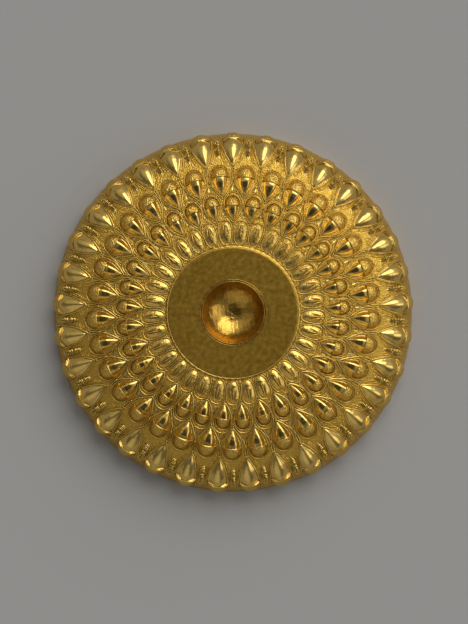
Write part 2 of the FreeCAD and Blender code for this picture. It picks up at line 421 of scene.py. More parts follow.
@dataclass
class Form:
    """A mesh in the making: points, faces and the marks that the finish reads."""

    points: list = field(default_factory=list)
    quads: list = field(default_factory=list)
    rounds: list = field(default_factory=list)
    marks: list = field(default_factory=list)
    rubs_and_highlights: list = field(default_factory=list)
    count: int = 0

    def add(self, points: np.ndarray, quads: np.ndarray, mark: np.ndarray | float = 0.0,
            rub_and_highlight: np.ndarray | float = 1.0, rounds: np.ndarray | None = None) -> None:
        """Adds a patch of points and faces.

        Args:
            points: The points, in millimetres.
            quads: Four point numbers a face, counted within this patch.
            mark: How strongly each point is stippled, from 0 to 1.
            rub_and_highlight: How far each point is burnished, from 0 to 1; the finish paints it paler
                by as much, as a highlight.
            rounds: Faces of more corners, all alike in number, counted within this patch.
        """
        flat = points.reshape(-1, 3)
        self.points.append(flat)
        self.quads.append(quads.reshape(-1, 4) + self.count)
        if rounds is not None:
            self.rounds.append(rounds + self.count)
        self.marks.append(np.zeros(len(flat)) + np.asarray(mark, float).reshape(-1))
        self.rubs_and_highlights.append(np.zeros(len(flat)) + np.asarray(rub_and_highlight, float).reshape(-1))
        self.count += len(flat)

    def build(self, name: str, sharp: float = 40.0) -> bpy.types.Object:
        """Makes the mesh object.

        Args:
            name: The piece's name.
            sharp: Edges that turn by more degrees than this stay crisp.

        Returns:
            The object, linked to the scene.
        """
        points = np.concatenate(self.points) * MM
        quads = np.concatenate(self.quads) if self.quads else np.zeros((0, 4), int)
        loops = [quads.reshape(-1)]
        sizes = [np.full(len(quads), 4)]
        for faces in self.rounds:
            loops.append(faces.reshape(-1))
            sizes.append(np.full(len(faces), faces.shape[1]))
        corners = np.concatenate(loops).astype(np.int32)
        totals = np.concatenate(sizes).astype(np.int32)
        starts = np.concatenate([[0], np.cumsum(totals)[:-1]]).astype(np.int32)
        mesh = bpy.data.meshes.new(name)
        mesh.vertices.add(len(points))
        mesh.vertices.foreach_set("co", points.astype(np.float32).reshape(-1))
        mesh.loops.add(len(corners))
        mesh.loops.foreach_set("vertex_index", corners)
        mesh.polygons.add(len(totals))
        mesh.polygons.foreach_set("loop_start", starts)
        mesh.update(calc_edges=True)
        mesh.validate()
        mesh.shade_smooth()
        mesh.set_sharp_from_angle(angle=math.radians(sharp))
        # The burnish share drives both the smoothness and a painted highlight in the colour.
        for key, values in (("stipple", self.marks), ("rubbed_and_highlight", self.rubs_and_highlights)):
            layer = mesh.attributes.new(key, "FLOAT", "POINT")
            layer.data.foreach_set("value", np.concatenate(values).astype(np.float32))
        piece = bpy.data.objects.new(name, mesh)
        bpy.context.scene.collection.objects.link(piece)
        return piece


def tube_faces(groups: int, rings: int, around: int, closed: bool) -> np.ndarray:
    """Numbers the faces of tubes whose points lie in rings.

    Args:
        groups: How many tubes there are.
        rings: Rings in each tube.
        around: Points in each ring.
        closed: Whether the last ring joins the first.

    Returns:
        The faces, four point numbers each.
    """
    ring = np.arange(rings if closed else rings - 1)
    spot = np.arange(around)
    start = np.arange(groups) * rings * around
    a = ring[:, None] * around + spot[None, :]
    b = ring[:, None] * around + (spot[None, :] + 1) % around
    c = ((ring[:, None] + 1) % rings) * around + (spot[None, :] + 1) % around
    d = ((ring[:, None] + 1) % rings) * around + spot[None, :]
    faces = np.stack([a, d, c, b], axis=-1).reshape(-1, 4)
    return (start[:, None, None] + faces[None]).reshape(-1, 4)


def end_faces(groups: int, rings: int, around: int) -> np.ndarray:
    """Numbers the two end faces of each open tube.

    Args:
        groups: How many tubes there are.
        rings: Rings in each tube.
        around: Points in each ring.

    Returns:
        The end faces, one row of point numbers each.
    """
    start = np.arange(groups)[:, None] * rings * around
    first = start + np.arange(around)[None, :]
    last = start + (rings - 1) * around + np.arange(around)[None, ::-1]
    return np.concatenate([first, last])


@dataclass(frozen=True)
class Tool:
    """The section that a chasing tool leaves along a line, from one side to the other.

    Offsets are shares of the half width and rises are shares of the height. The root is how deep
    the ridge is set into the sheet below it.
    """

    offsets: tuple = (-1.0, -0.82, -0.45, 0.0, 0.45, 0.82, 1.0)
    rises: tuple = (0.0, 0.42, 0.86, 1.0, 0.86, 0.42, 0.0)
    root: float = 0.3


@dataclass(frozen=True)
class Chaser:
    """Lays ridges, beads and leaves on the relief, so that each follows the surface below it."""

    relief: Relief

    def ridge(self, form: Form, place: np.ndarray, turn: np.ndarray, half_width: np.ndarray | float,
              height: np.ndarray | float, tool: Tool = Tool(), closed: bool = False,
              rub_and_highlight: float = 1.0) -> None:
        """Lays one ridge along each row of a set of paths.

        Args:
            form: The mesh in the making.
            place: Arc lengths along the paths, one row a path.
            turn: Angles along the paths, one row a path.
            half_width: Half the ridge's width, one value or one for each step.
            height: The ridge's height, one value or one for each step.
            tool: The ridge's section.
            closed: Whether each path joins its own start.
            rub_and_highlight: How far the ridge is burnished and painted paler as a highlight; the
                rest is stippled.
        """
        sheet = self.relief.sheet
        radius = sheet.radius(place)
        if closed:
            run = 0.5 * (np.roll(place, -1, axis=1) - np.roll(place, 1, axis=1))
            side = 0.5 * (np.roll(turn, -1, axis=1) - np.roll(turn, 1, axis=1)) * radius
        else:
            run = np.gradient(place, axis=1)
            side = np.gradient(turn, axis=1) * radius
        reach = np.maximum(np.hypot(run, side), 1e-9)
        offsets = np.asarray(tool.offsets)
        width = np.broadcast_to(np.asarray(half_width, float), place.shape)[..., None]
        tall = np.broadcast_to(np.asarray(height, float), place.shape)[..., None]
        over = offsets * width
        at_place = place[..., None] - over * (side / reach)[..., None]
        at_turn = turn[..., None] + over * (run / reach)[..., None] / radius[..., None]
        base = self.relief.proud(at_place, at_turn)[0]
        top = sheet.point(at_place, at_turn, base + np.asarray(tool.rises) * tall)
        foot = [sheet.point(at_place[..., k], at_turn[..., k], base[..., k] - tool.root)
                for k in (-1, 0)]
        rings = np.concatenate([top, foot[0][..., None, :], foot[1][..., None, :]], axis=2)
        groups, steps, around, _ = rings.shape
        ends = None if closed else end_faces(groups, steps, around)[:, ::-1]
        form.add(rings, tube_faces(groups, steps, around, closed)[:, ::-1], 1.0 - rub_and_highlight, rub_and_highlight, ends)

    def beads(self, form: Form, place: np.ndarray, turn: np.ndarray, radius: np.ndarray | float,
              height: np.ndarray | float, stretch: float = 1.0, around: int = 10) -> None:
        """Sets round beads on the surface.

        Args:
            form: The mesh in the making.
            place: Arc length of each bead's middle.
            turn: Angle of each bead's middle.
            radius: Each bead's radius.
            height: Each bead's height.
            stretch: Length along the radius of the bowl over length across it.
            around: Points round each bead.
        """
        place, turn = np.broadcast_arrays(np.asarray(place, float), np.asarray(turn, float))
        place, turn = place.reshape(-1), turn.reshape(-1)
        size = np.broadcast_to(np.asarray(radius, float).reshape(-1), place.shape)
        tall = np.broadcast_to(np.asarray(height, float).reshape(-1), place.shape)
        sheet = self.relief.sheet
        shares = np.array([0.12, 0.5, 0.8, 1.0])
        angle = np.arange(around) / around * 2 * math.pi
        reach = size[:, None, None] * shares[None, :, None]
        at_place = place[:, None, None] + stretch * reach * np.cos(angle)
        at_turn = turn[:, None, None] + reach * np.sin(angle) / sheet.radius(at_place)
        base = self.relief.proud(at_place, at_turn)[0]
        rise = tall[:, None, None] * np.sqrt(1.0 - shares ** 2)[None, :, None]
        top = sheet.point(at_place, at_turn, base + rise)
        foot = sheet.point(at_place[:, -1:], at_turn[:, -1:], base[:, -1:] - 0.3)
        rings = np.concatenate([top, foot], axis=1)
        groups, steps, _, _ = rings.shape
        form.add(rings, tube_faces(groups, steps, around, False)[:, ::-1],
                 rounds=end_faces(groups, steps, around)[:, ::-1])


# Finishes

def add_node(tree: bpy.types.NodeTree, kind: str, settings: dict | None = None,
             links: dict | None = None) -> bpy.types.Node:
    """Adds a node with its settings and links.

    Args:
        tree: The material's or world's node tree.
        kind: The node's type name.
        settings: Socket values by socket name or number, and node properties by name.
        links: Output sockets to link in, by input name or number.

    Returns:
        The new node.
    """
    node = tree.nodes.new(kind)
    for key, value in (settings or {}).items():
        if isinstance(key, int) or key in node.inputs:
            node.inputs[key].default_value = value
        else:
            setattr(node, key, value)
    for key, socket in (links or {}).items():
        tree.links.new(socket, node.inputs[key])
    return node


@dataclass(frozen=True)
class GoldFinish:
    """Gold of high carat as one tool left it.

    Gold mirrors what is round it in its own warm colour. Where the burnisher went, it is close to a
    mirror, and its colour is made paler there, a painted highlight; where it was punched it is satin;
    in crevices and recesses an occlusion mask paints shade into it, dark brown, and dulls it.
    """

    name: str
    # The raised colour is the paler gold that burnished parts get as a painted highlight; worked is
    # the gold elsewhere.
    raised: str = "#F2CE76"
    worked: str = "#D3A42E"
    # The dark brown of the painted shade that the occlusion mask lays in crevices and recesses.
    hollow: str = "#3A2500"
    roughness: float = 0.40
    rubbed_roughness: float = 0.15
    hollow_roughness: float = 0.5
    mottle_mm: float = 6.0
    mottle: float = 0.35
    pit_mm: float = 0.0
    pit_depth: float = 0.0
    stipple_mm: float = 0.0
    stipple_depth: float = 0.0
    scratch_mm: float = 0.0
    scratch_depth: float = 0.0
    hammer_mm: float = 2.2
    hammer_depth: float = 0.02
    crevice_mm: float = 1.1

    def make(self) -> bpy.types.Material:
        """Builds the material's nodes.

        Returns:
            The material.
        """
        material = bpy.data.materials.new(self.name)
        material.use_nodes = True
        tree = material.node_tree
        tree.nodes.clear()
        spot = add_node(tree, "ShaderNodeTexCoord").outputs["Object"]
        rub_and_highlight = add_node(tree, "ShaderNodeAttribute", {"attribute_name": "rubbed_and_highlight"}).outputs["Fac"]
        # Painted shade: ambient occlusion finds crevices and recesses, where the colour is darkened
        # towards the hollow brown and the roughness raised.
        painted_crevice_shade = add_node(tree, "ShaderNodeAmbientOcclusion",
                           {"Distance": self.crevice_mm * MM, "samples": 6})
        open_sky = add_node(tree, "ShaderNodeMapRange", {"From Min": 0.32, "From Max": 0.88},
                            {"Value": painted_crevice_shade.outputs["AO"]}).outputs[0]
        mottle = add_node(tree, "ShaderNodeTexNoise",
                          {"Scale": 1.0 / (self.mottle_mm * MM), "Detail": 5.0, "Roughness": 0.6},
                          {"Vector": spot}).outputs[0]
        handled = add_node(tree, "ShaderNodeMapRange",
                           {"From Min": 0.35, "From Max": 0.65, "To Min": 1.0 - self.mottle},
                           {"Value": mottle}).outputs[0]
        # Painted highlight: the more a spot is burnished, the more its colour leans to the paler
        # raised gold.
        pale = add_node(tree, "ShaderNodeMapRange", {"To Min": 0.35, "To Max": 1.0},
                        {"Value": rub_and_highlight}).outputs[0]
        rubbed_and_highlight = add_node(tree, "ShaderNodeMath", {"operation": "MULTIPLY"},
                          {0: handled, 1: pale}).outputs[0]
        gold = add_node(tree, "ShaderNodeMix",
                        {"data_type": "RGBA", 6: linear(self.worked), 7: linear(self.raised)},
                        {0: rubbed_and_highlight}).outputs[2]
        # Painted shade mixed into the colour wherever the occlusion mask finds a crevice.
        colour = add_node(tree, "ShaderNodeMix",
                          {"data_type": "RGBA", 6: linear(self.hollow)},
                          {0: open_sky, 7: gold}).outputs[2]
        smooth = add_node(tree, "ShaderNodeMapRange",
                          {"To Min": self.roughness, "To Max": self.rubbed_roughness},
                          {"Value": rub_and_highlight}).outputs[0]
        dull = add_node(tree, "ShaderNodeMix", {"data_type": "FLOAT", 2: self.hollow_roughness},
                        {0: open_sky, 3: smooth}).outputs[0]
        rough = add_node(tree, "ShaderNodeMath", {"operation": "MULTIPLY_ADD", 1: 0.08},
                         {0: mottle, 2: dull}).outputs[0]
        shader = add_node(tree, "ShaderNodeBsdfPrincipled", {"Metallic": 1.0},
                          {"Base Color": colour, "Roughness": rough})
        normal = self.surface(tree, spot)
        if normal is not None:
            tree.links.new(normal, shader.inputs["Normal"])
        add_node(tree, "ShaderNodeOutputMaterial", links={"Surface": shader.outputs[0]})
        return material

    def surface(self, tree: bpy.types.NodeTree,
                spot: bpy.types.NodeSocket) -> bpy.types.NodeSocket | None:
        """Chains the bumps that hammer, punch, scraper and wear leave.

        Args:
            tree: The material's node tree.
            spot: The place on the object.

        Returns:
            The normal to shade with, or None for a plain surface.
        """
        normal = None
        layers = []
        if self.hammer_depth:
            noise = add_node(tree, "ShaderNodeTexNoise",
                             {"Scale": 1.0 / (self.hammer_mm * MM), "Detail": 2.0}, {"Vector": spot})
            layers.append((noise.outputs[0], self.hammer_depth))
        if self.stipple_depth:
            dots = add_node(tree, "ShaderNodeTexVoronoi",
                            {"feature": "SMOOTH_F1", "Scale": 1.0 / (self.stipple_mm * MM),
                             "Smoothness": 0.3}, {"Vector": spot})
            mark = add_node(tree, "ShaderNodeAttribute", {"attribute_name": "stipple"})
            held = add_node(tree, "ShaderNodeMath", {"operation": "MULTIPLY"},
                            {0: dots.outputs["Distance"], 1: mark.outputs["Fac"]})
            layers.append((held.outputs[0], self.stipple_depth))
        if self.pit_depth:
            pits = add_node(tree, "ShaderNodeTexVoronoi",
                            {"feature": "SMOOTH_F1", "Scale": 1.0 / (self.pit_mm * MM),
                             "Smoothness": 0.6, "Randomness": 1.0}, {"Vector": spot})
            layers.append((pits.outputs["Distance"], self.pit_depth))
        if self.scratch_depth:
            turned = self.turned_spot(tree, spot)
            lines = add_node(tree, "ShaderNodeTexNoise",
                             {"Scale": 1.0, "Detail": 3.0, "Roughness": 0.7}, {"Vector": turned})
            layers.append((lines.outputs[0], self.scratch_depth))
        for height, depth in layers:
            links = {"Height": height}
            if normal is not None:
                links["Normal"] = normal
            bump = add_node(tree, "ShaderNodeBump", {"Strength": 1.0, "Distance": depth * MM}, links)
            normal = bump.outputs["Normal"]
        return normal

    def turned_spot(self, tree: bpy.types.NodeTree,
                    spot: bpy.types.NodeSocket) -> bpy.types.NodeSocket:
        """Turns a place into radius and angle, so that a noise on it runs round the axis.

        Args:
            tree: The material's node tree.
            spot: The place on the object.

        Returns:
            The turned place, scaled to the scratches' spacing.
        """
        parts = add_node(tree, "ShaderNodeSeparateXYZ", links={0: spot})
        flat = add_node(tree, "ShaderNodeCombineXYZ",
                        links={0: parts.outputs[0], 1: parts.outputs[1]})
        radius = add_node(tree, "ShaderNodeVectorMath", {"operation": "LENGTH"},
                          {0: flat.outputs[0]}).outputs["Value"]
        angle = add_node(tree, "ShaderNodeMath", {"operation": "ARCTAN2"},
                         {0: parts.outputs[1], 1: parts.outputs[0]}).outputs[0]
        fine = add_node(tree, "ShaderNodeMath",
                        {"operation": "MULTIPLY", 1: 1.0 / (self.scratch_mm * MM)},
                        {0: radius}).outputs[0]
        along = add_node(tree, "ShaderNodeMath", {"operation": "MULTIPLY", 1: 4.0},
                         {0: angle}).outputs[0]
        return add_node(tree, "ShaderNodeCombineXYZ", links={0: fine, 1: along}).outputs[0]


# Cups and ground are punched all over with a round-ended tool; the dots are drawn at 0.9 mm.
CHASED = GoldFinish("chased_burnished_gold", stipple_mm=0.9, stipple_depth=0.48)
# Fine chased lines stand up; their gold is a paler copy, a painted highlight that makes them read
# brighter than the sheet.
RIDGED = GoldFinish("chased_ridge_highlight_gold", raised="#FBD878", worked="#E8BC4E",
                    rubbed_roughness=0.32, hammer_depth=0.0)
# The collar was scraped flat round and round, which leaves it satin; its gold is a darker copy,
# painted shade for the dim room overhead that the flat collar mirrors.
SCRAPED = GoldFinish("scraped_satin_shaded_gold", raised="#D0A646", worked="#A17A26",
                     rubbed_roughness=0.36, mottle_mm=3.0, mottle=0.8, scratch_mm=0.3,
                     scratch_depth=0.06, hammer_mm=14.0, hammer_depth=0.14)
# Fingers wore the boss to a soft shine full of small pits, drawn at 1.1 mm to show; its gold is a
# darker copy, painted shade for the hollow.
WORN = GoldFinish("finger_worn_shaded_gold", raised="#D8AC50", worked="#A87D26", rubbed_roughness=0.21,
                  pit_mm=1.1, pit_depth=0.09, hammer_mm=4.0, hammer_depth=0.06)
# The lip was planished with a flat hammer, so it is smooth with faint broad facets.
PLANISHED = GoldFinish("planished_gold", rubbed_roughness=0.28, hammer_mm=5.0, hammer_depth=0.06)


def dress(piece: bpy.types.Object, material: bpy.types.Material, zone: Zone) -> None:
    """Gives a piece its material in a slot and its body, and hides the CAD node that it stands for.

    Args:
        piece: The piece.
        material: Its material.
        zone: The zone of the sheet that it belongs to.
    """
    piece.data.materials.clear()
    piece.data.materials.append(material)
    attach(piece, BODY)
    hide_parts(zone.value)
    LOG.info("piece %s: %d faces", piece.name, len(piece.data.polygons))


# The sub-assemblies

@dataclass
class Wall:
    """The relief wall: the sheet itself, in one band for each row of fruit."""

    relief: Relief
    material: bpy.types.Material
    bands: tuple = (
        ("beechnut_band", 43.1, 58.3, 28, 36),
        ("inner_acorn_band", 58.3, 74.9, 32, 38),
        ("middle_acorn_band", 74.9, 94.4, 36, 42),
        ("outer_acorn_band", 94.4, 115.3, 40, 56),
    )
    inner_share: float = 0.25
    hollow_share: float = 0.88

    def build(self) -> list[bpy.types.Object]:
        """Builds each band as a closed shell.

        Returns:
            The bands.
        """
        return [self.band(*sizes) for sizes in self.bands]

    def band(self, name: str, start: float, end: float, columns: int,
             rows: int) -> bpy.types.Object:
        """Builds one band of the sheet, worked on both faces.

        Args:
            name: The band's name.
            start: The bare sheet's radius where the band starts.
            end: The bare sheet's radius where it ends.
            columns: Columns of faces in each pitch.
            rows: Rows of faces on the outer side.

        Returns:
            The band.
        """
        sheet = self.relief.sheet
        around = columns * SECTORS
        turn = np.arange(around) / around * 2 * math.pi
        first, last = sheet.place_of(start), sheet.place_of(end)
        outer = np.linspace(first, last, rows + 1)[:, None]
        inner = np.linspace(last, first, int(rows * self.inner_share) + 1)[:, None]
        proud, stipple, burnish_and_highlight = self.relief.proud(outer, turn[None, :])
        top = sheet.point(np.broadcast_to(outer, proud.shape),
                          np.broadcast_to(turn, proud.shape), proud)
        behind = self.relief.proud(inner, turn[None, :])[0]
        behind = self.hollow_share * behind - sheet.thickness
        under = sheet.point(np.broadcast_to(inner, behind.shape),
                            np.broadcast_to(turn, behind.shape), behind)
        rings = np.concatenate([top, under])[None]
        form = Form()
        marks = np.concatenate([stipple, np.zeros_like(behind)])
        rubs_and_highlights = np.concatenate([burnish_and_highlight, np.zeros_like(behind)])
        faces = tube_faces(1, len(rings[0]), around, True)
        form.add(rings, faces[:, ::-1], marks, rubs_and_highlights)
        piece = form.build(name, sharp=50.0)
        dress(piece, self.material, Zone.WALL)
        return piece


def closed_outline(row: FruitRow, grow: float, step: float) -> tuple[np.ndarray, np.ndarray]:
    """Draws a line round a fruit at an even distance outside it.

    Args:
        row: The row of fruit.
        grow: The distance outside the fruit's own outline.
        step: The distance between the line's points.

    Returns:
        Shares of the length and distances across, round the fruit from its tip.
    """
    near_tip, near_end, few, many = 0.12, 0.9, 24, 60
    closing = (1.0 - near_end) * (1.0 - np.linspace(0.0, 1.0, few)[1:]) ** 2
    share = np.concatenate([np.linspace(0.0, near_tip, few), np.linspace(near_tip, near_end, many)[1:],
                            1.0 - closing])
    width = row.outline(share)
    along = share * row.length()
    run = np.gradient(along)
    side = np.gradient(width)
    reach = np.maximum(np.hypot(run, side), 1e-9)
    out_along = along - grow * side / reach
    out_width = np.maximum(width + grow * run / reach, 0.0)
    tip = np.array([[-grow, 0.0]])
    top = np.array([[row.length() + grow, 0.0]])
    half = np.concatenate([tip, np.stack([out_along, out_width], axis=1), top])
    other = half[1:-1][::-1] * np.array([1.0, -1.0])
    loop = np.concatenate([half, other])
    ring = np.concatenate([loop, loop[:1]])
    lengths = np.concatenate([[0.0], np.cumsum(np.hypot(*np.diff(ring, axis=0).T))])
    count = int(lengths[-1] / step)
    spots = np.arange(count) / count * lengths[-1]
    along = np.interp(spots, lengths, ring[:, 0])
    across = np.interp(spots, lengths, ring[:, 1])
    for _ in range(2):
        along = 0.25 * (np.roll(along, 1) + np.roll(along, -1)) + 0.5 * along
        across = 0.25 * (np.roll(across, 1) + np.roll(across, -1)) + 0.5 * across
    return along / row.length(), across


def smooth_path(knots: tuple, step: float) -> tuple[np.ndarray, np.ndarray]:
    """Runs a smooth line through knots and mirrors it about the fruit's axis.

    Args:
        knots: Pairs of the distance from the axis, as a share of the pitch, and the radius.
        step: The distance between the line's points.

    Returns:
        Shares of the pitch and radii along the whole line, which joins up where both ends of the
        knots lie on the axis.
    """
    side = np.array([knot[0] for knot in knots])
    radius = np.array([knot[1] for knot in knots])
    run = np.hypot(np.diff(side) * PITCH * 0.5 * (radius[1:] + radius[:-1]), np.diff(radius))
    length = np.concatenate([[0.0], np.cumsum(run)])
    spots = np.linspace(0.0, length[-1], max(int(length[-1] / step), 2) + 1)
    side, radius = smooth_line(spots, length, side), smooth_line(spots, length, radius)
    if side[0] == 0.0 and side[-1] == 0.0:
        side = np.concatenate([side, -side[-2:0:-1]])
        radius = np.concatenate([radius, radius[-2:0:-1]])
    elif side[0] == 0.0:
        side = np.concatenate([-side[::-1], side[1:]])
        radius = np.concatenate([radius[::-1], radius[1:]])
    else:
        side = np.concatenate([-side, side[::-1][1:]])
        radius = np.concatenate([radius, radius[::-1][1:]])
    return side, radius


@dataclass
class Frames:
    """The fine raised lines that hug every fruit, most of them in pairs."""

    chaser: Chaser
    material: bpy.types.Material
    step: float = 0.5
    half_width: float = 0.42
    height: float = 0.66
    hug_share: float = 0.9
    hug_rise: float = 0.85
    shift_mm: float = 0.08
    wander_mm: float = 0.06
    outer_path: tuple = ((0.372, 114.2), (0.357, 112.0), (0.33, 108.5), (0.275, 103.0),
                         (0.186, 99.0), (0.088, 95.6), (0.0, 93.7))
    middle_path: tuple = ((0.462, 93.4), (0.456, 90.0), (0.485, 86.4), (0.43, 83.0), (0.27, 79.0),
                          (0.12, 76.0), (0.0, 73.9))
    inner_path: tuple = ((0.0, 77.4), (0.2, 76.7), (0.36, 74.2), (0.43, 70.5), (0.435, 67.5),
                         (0.38, 64.5), (0.24, 61.2), (0.1, 59.0), (0.0, 57.9))
    nut_path: tuple = ((0.0, 59.3), (0.25, 58.5), (0.40, 56.0), (0.455, 52.0), (0.43, 48.0),
                       (0.32, 44.9), (0.18, 43.6))

    def build(self, outer: FruitRow, middle: FruitRow, inner: FruitRow,
              nuts: FruitRow) -> list[bpy.types.Object]:
        """Builds the frames of each row.

        Args:
            outer: The outer row of acorns.
            middle: The middle row of acorns.
            inner: The inner row of acorns.
            nuts: The beechnuts.

        Returns:
            The pieces.
        """
        pieces = []
        for name, row, path, hugs in (("outer_frames", outer, self.outer_path, ()),
                                      ("middle_frames", middle, self.middle_path, (1.15,)),
                                      ("inner_frames", inner, self.inner_path, (0.85,)),
                                      ("beechnut_frames", nuts, self.nut_path, ())):
            form = Form()
            self.shared(form, row.phase, path)
            for grow in hugs:
                share, across = closed_outline(row, grow, self.step)
                place, turn = row.on_sheet(share, across)
                self.chaser.ridge(form, place, turn, self.hug_share * self.half_width,
                                  self.hug_rise * self.height, closed=True)
            piece = form.build(name)
            dress(piece, self.material, Zone.WALL)
            pieces.append(piece)
        return pieces

    def shared(self, form: Form, phase: float, path: tuple) -> None:
        """Lays the outer line of a row, which each fruit shares with its neighbours.

        Args:
            form: The mesh in the making.
            phase: The row's phase.
            path: The line's knots on one side of the axis.
        """
        side, radius = smooth_path(path, self.step)
        draw = np.random.default_rng(SEED + int(path[0][1]))
        shift = draw.normal(0.0, self.shift_mm, SECTORS)[:, None]
        number = np.arange(SECTORS)[:, None]
        place = self.chaser.relief.sheet.places(radius)[None, :] + shift
        turn = (number + phase + side[None, :]) * PITCH
        wander = self.wander_mm * np.sin(0.35 * place + 2.0 * number)
        closed = path[0][0] == 0.0 and path[-1][0] == 0.0
        self.chaser.ridge(form, place, turn + wander / radius, self.half_width, self.height,
                          closed=closed)


@dataclass
class Bees:
    """The ring of bees between the acorns of the outer row, heads to the rim."""

    chaser: Chaser
    material: bpy.types.Material
    hatched: bpy.types.Material
    phase: float = 0.5
    middle_radius: float = 105.6
    circles: tuple = ((7.6, 1.05), (-0.9, 0.75))
    eyes: tuple = ((5.5, 0.8, 0.62), (4.4, 0.75, 0.5))
    bars: tuple = ((3.1, 1.65), (2.0, 1.2), (0.6, 1.5), (-2.4, 1.5), (-3.5, 1.3), (-4.7, 1.35),
                   (-5.7, 1.0))
    tail_start: float = -6.2
    tail_length: float = 2.2
    wing_steps: int = 34
    veins: int = 3

    def build(self) -> list[bpy.types.Object]:
        """Builds the bees' bodies and wings.

        Returns:
            The pieces.
        """
        draw = np.random.default_rng(SEED + 50)
        sheet = self.chaser.relief.sheet
        turn = (np.arange(SECTORS) + self.phase) * PITCH + draw.normal(0.0, 0.002, SECTORS)
        start = sheet.place_of(self.middle_radius) + draw.normal(0.0, 0.15, SECTORS)
        body = Form()
        self.body(body, start, turn)
        bodies = body.build("bee_bodies")
        dress(bodies, self.material, Zone.WALL)
        wing = Form()
        self.wings(wing, turn)
        wings = wing.build("bee_wings")
        dress(wings, self.hatched, Zone.WALL)
        return [bodies, wings]

    def body(self, form: Form, start: np.ndarray, turn: np.ndarray) -> None:
        """Adds head, eyes, thorax, the bars across the belly and the pointed tail.

        Args:
            form: The mesh in the making.
            start: Arc length of each bee's middle.
            turn: Angle of each bee.
        """
        chaser = self.chaser
        radius = chaser.relief.sheet.radius(start)
        circle = np.arange(16) / 16 * 2 * math.pi
        for back, size in self.circles:
            eye = start + back
            place = eye[:, None] + size * np.cos(circle)[None, :]
            angle = turn[:, None] + size * np.sin(circle)[None, :] / chaser.relief.sheet.radius(place)
            chaser.ridge(form, place, angle, 0.28, 0.5, closed=True)
            chaser.beads(form, eye, turn, 0.4 * size, 0.55)
        for back, wide, size in self.eyes:
            for side in (-1.0, 1.0):
                chaser.beads(form, start + back, turn + side * wide / radius, size, 0.85)
        for back, size in self.bars:
            across = np.linspace(-size, size, 9)
            place = (start + back)[:, None] + 0.12 * across[None, :] ** 2
            angle = turn[:, None] + across[None, :] / radius[:, None]
            chaser.ridge(form, place, angle, 0.36, 0.75)
        along = np.linspace(0.0, 1.0, 8)
        place = start[:, None] + self.tail_start - self.tail_length * along[None, :]
        angle = np.broadcast_to(turn[:, None], place.shape)
        chaser.ridge(form, place, angle, 0.6 * (1.0 - along)[None, :] + 0.08,
                     0.5 * (1.0 - 0.5 * along)[None, :])

    def wings(self, form: Form, turn: np.ndarray) -> None:
        """Adds two broad hatched wings that fill the space beside each body.

        Args:
            form: The mesh in the making.
            turn: Angle of each bee.
        """
        sheet = self.chaser.relief.sheet
        offsets = np.linspace(-1.0, 1.0, 4 * self.veins + 1)
        rises = 0.55 + 0.45 * np.cos(offsets * self.veins * math.pi)
        rises[0] = rises[-1] = 0.0
        vane = Tool(tuple(offsets), tuple(rises))
        along = np.linspace(0.0, 1.0, self.wing_steps)
        radius = smooth_line(along, (0.0, 0.5, 1.0), (109.6, 102.6, 96.0))
        out = smooth_line(along, (0.0, 0.2, 0.5, 1.0), (1.9, 2.15, 3.3, 5.3))
        width = smooth_line(along, (0.0, 0.25, 0.62, 0.88, 1.0), (0.3, 0.95, 1.85, 1.6, 0.5))
        place = np.broadcast_to(sheet.places(radius)[None, :], (SECTORS, len(along)))
        tall = 0.34 * np.sin(math.pi * (0.03 + 0.90 * along)) ** 0.6
        tall = tall * (1.0 + 0.35 * np.cos(np.arange(self.wing_steps) * 2.1))
        for side in (-1.0, 1.0):
            angle = turn[:, None] + side * (out / radius)[None, :]
            self.chaser.ridge(form, place, angle, width[None, :], tall[None, :], vane, rub_and_highlight=0.1)


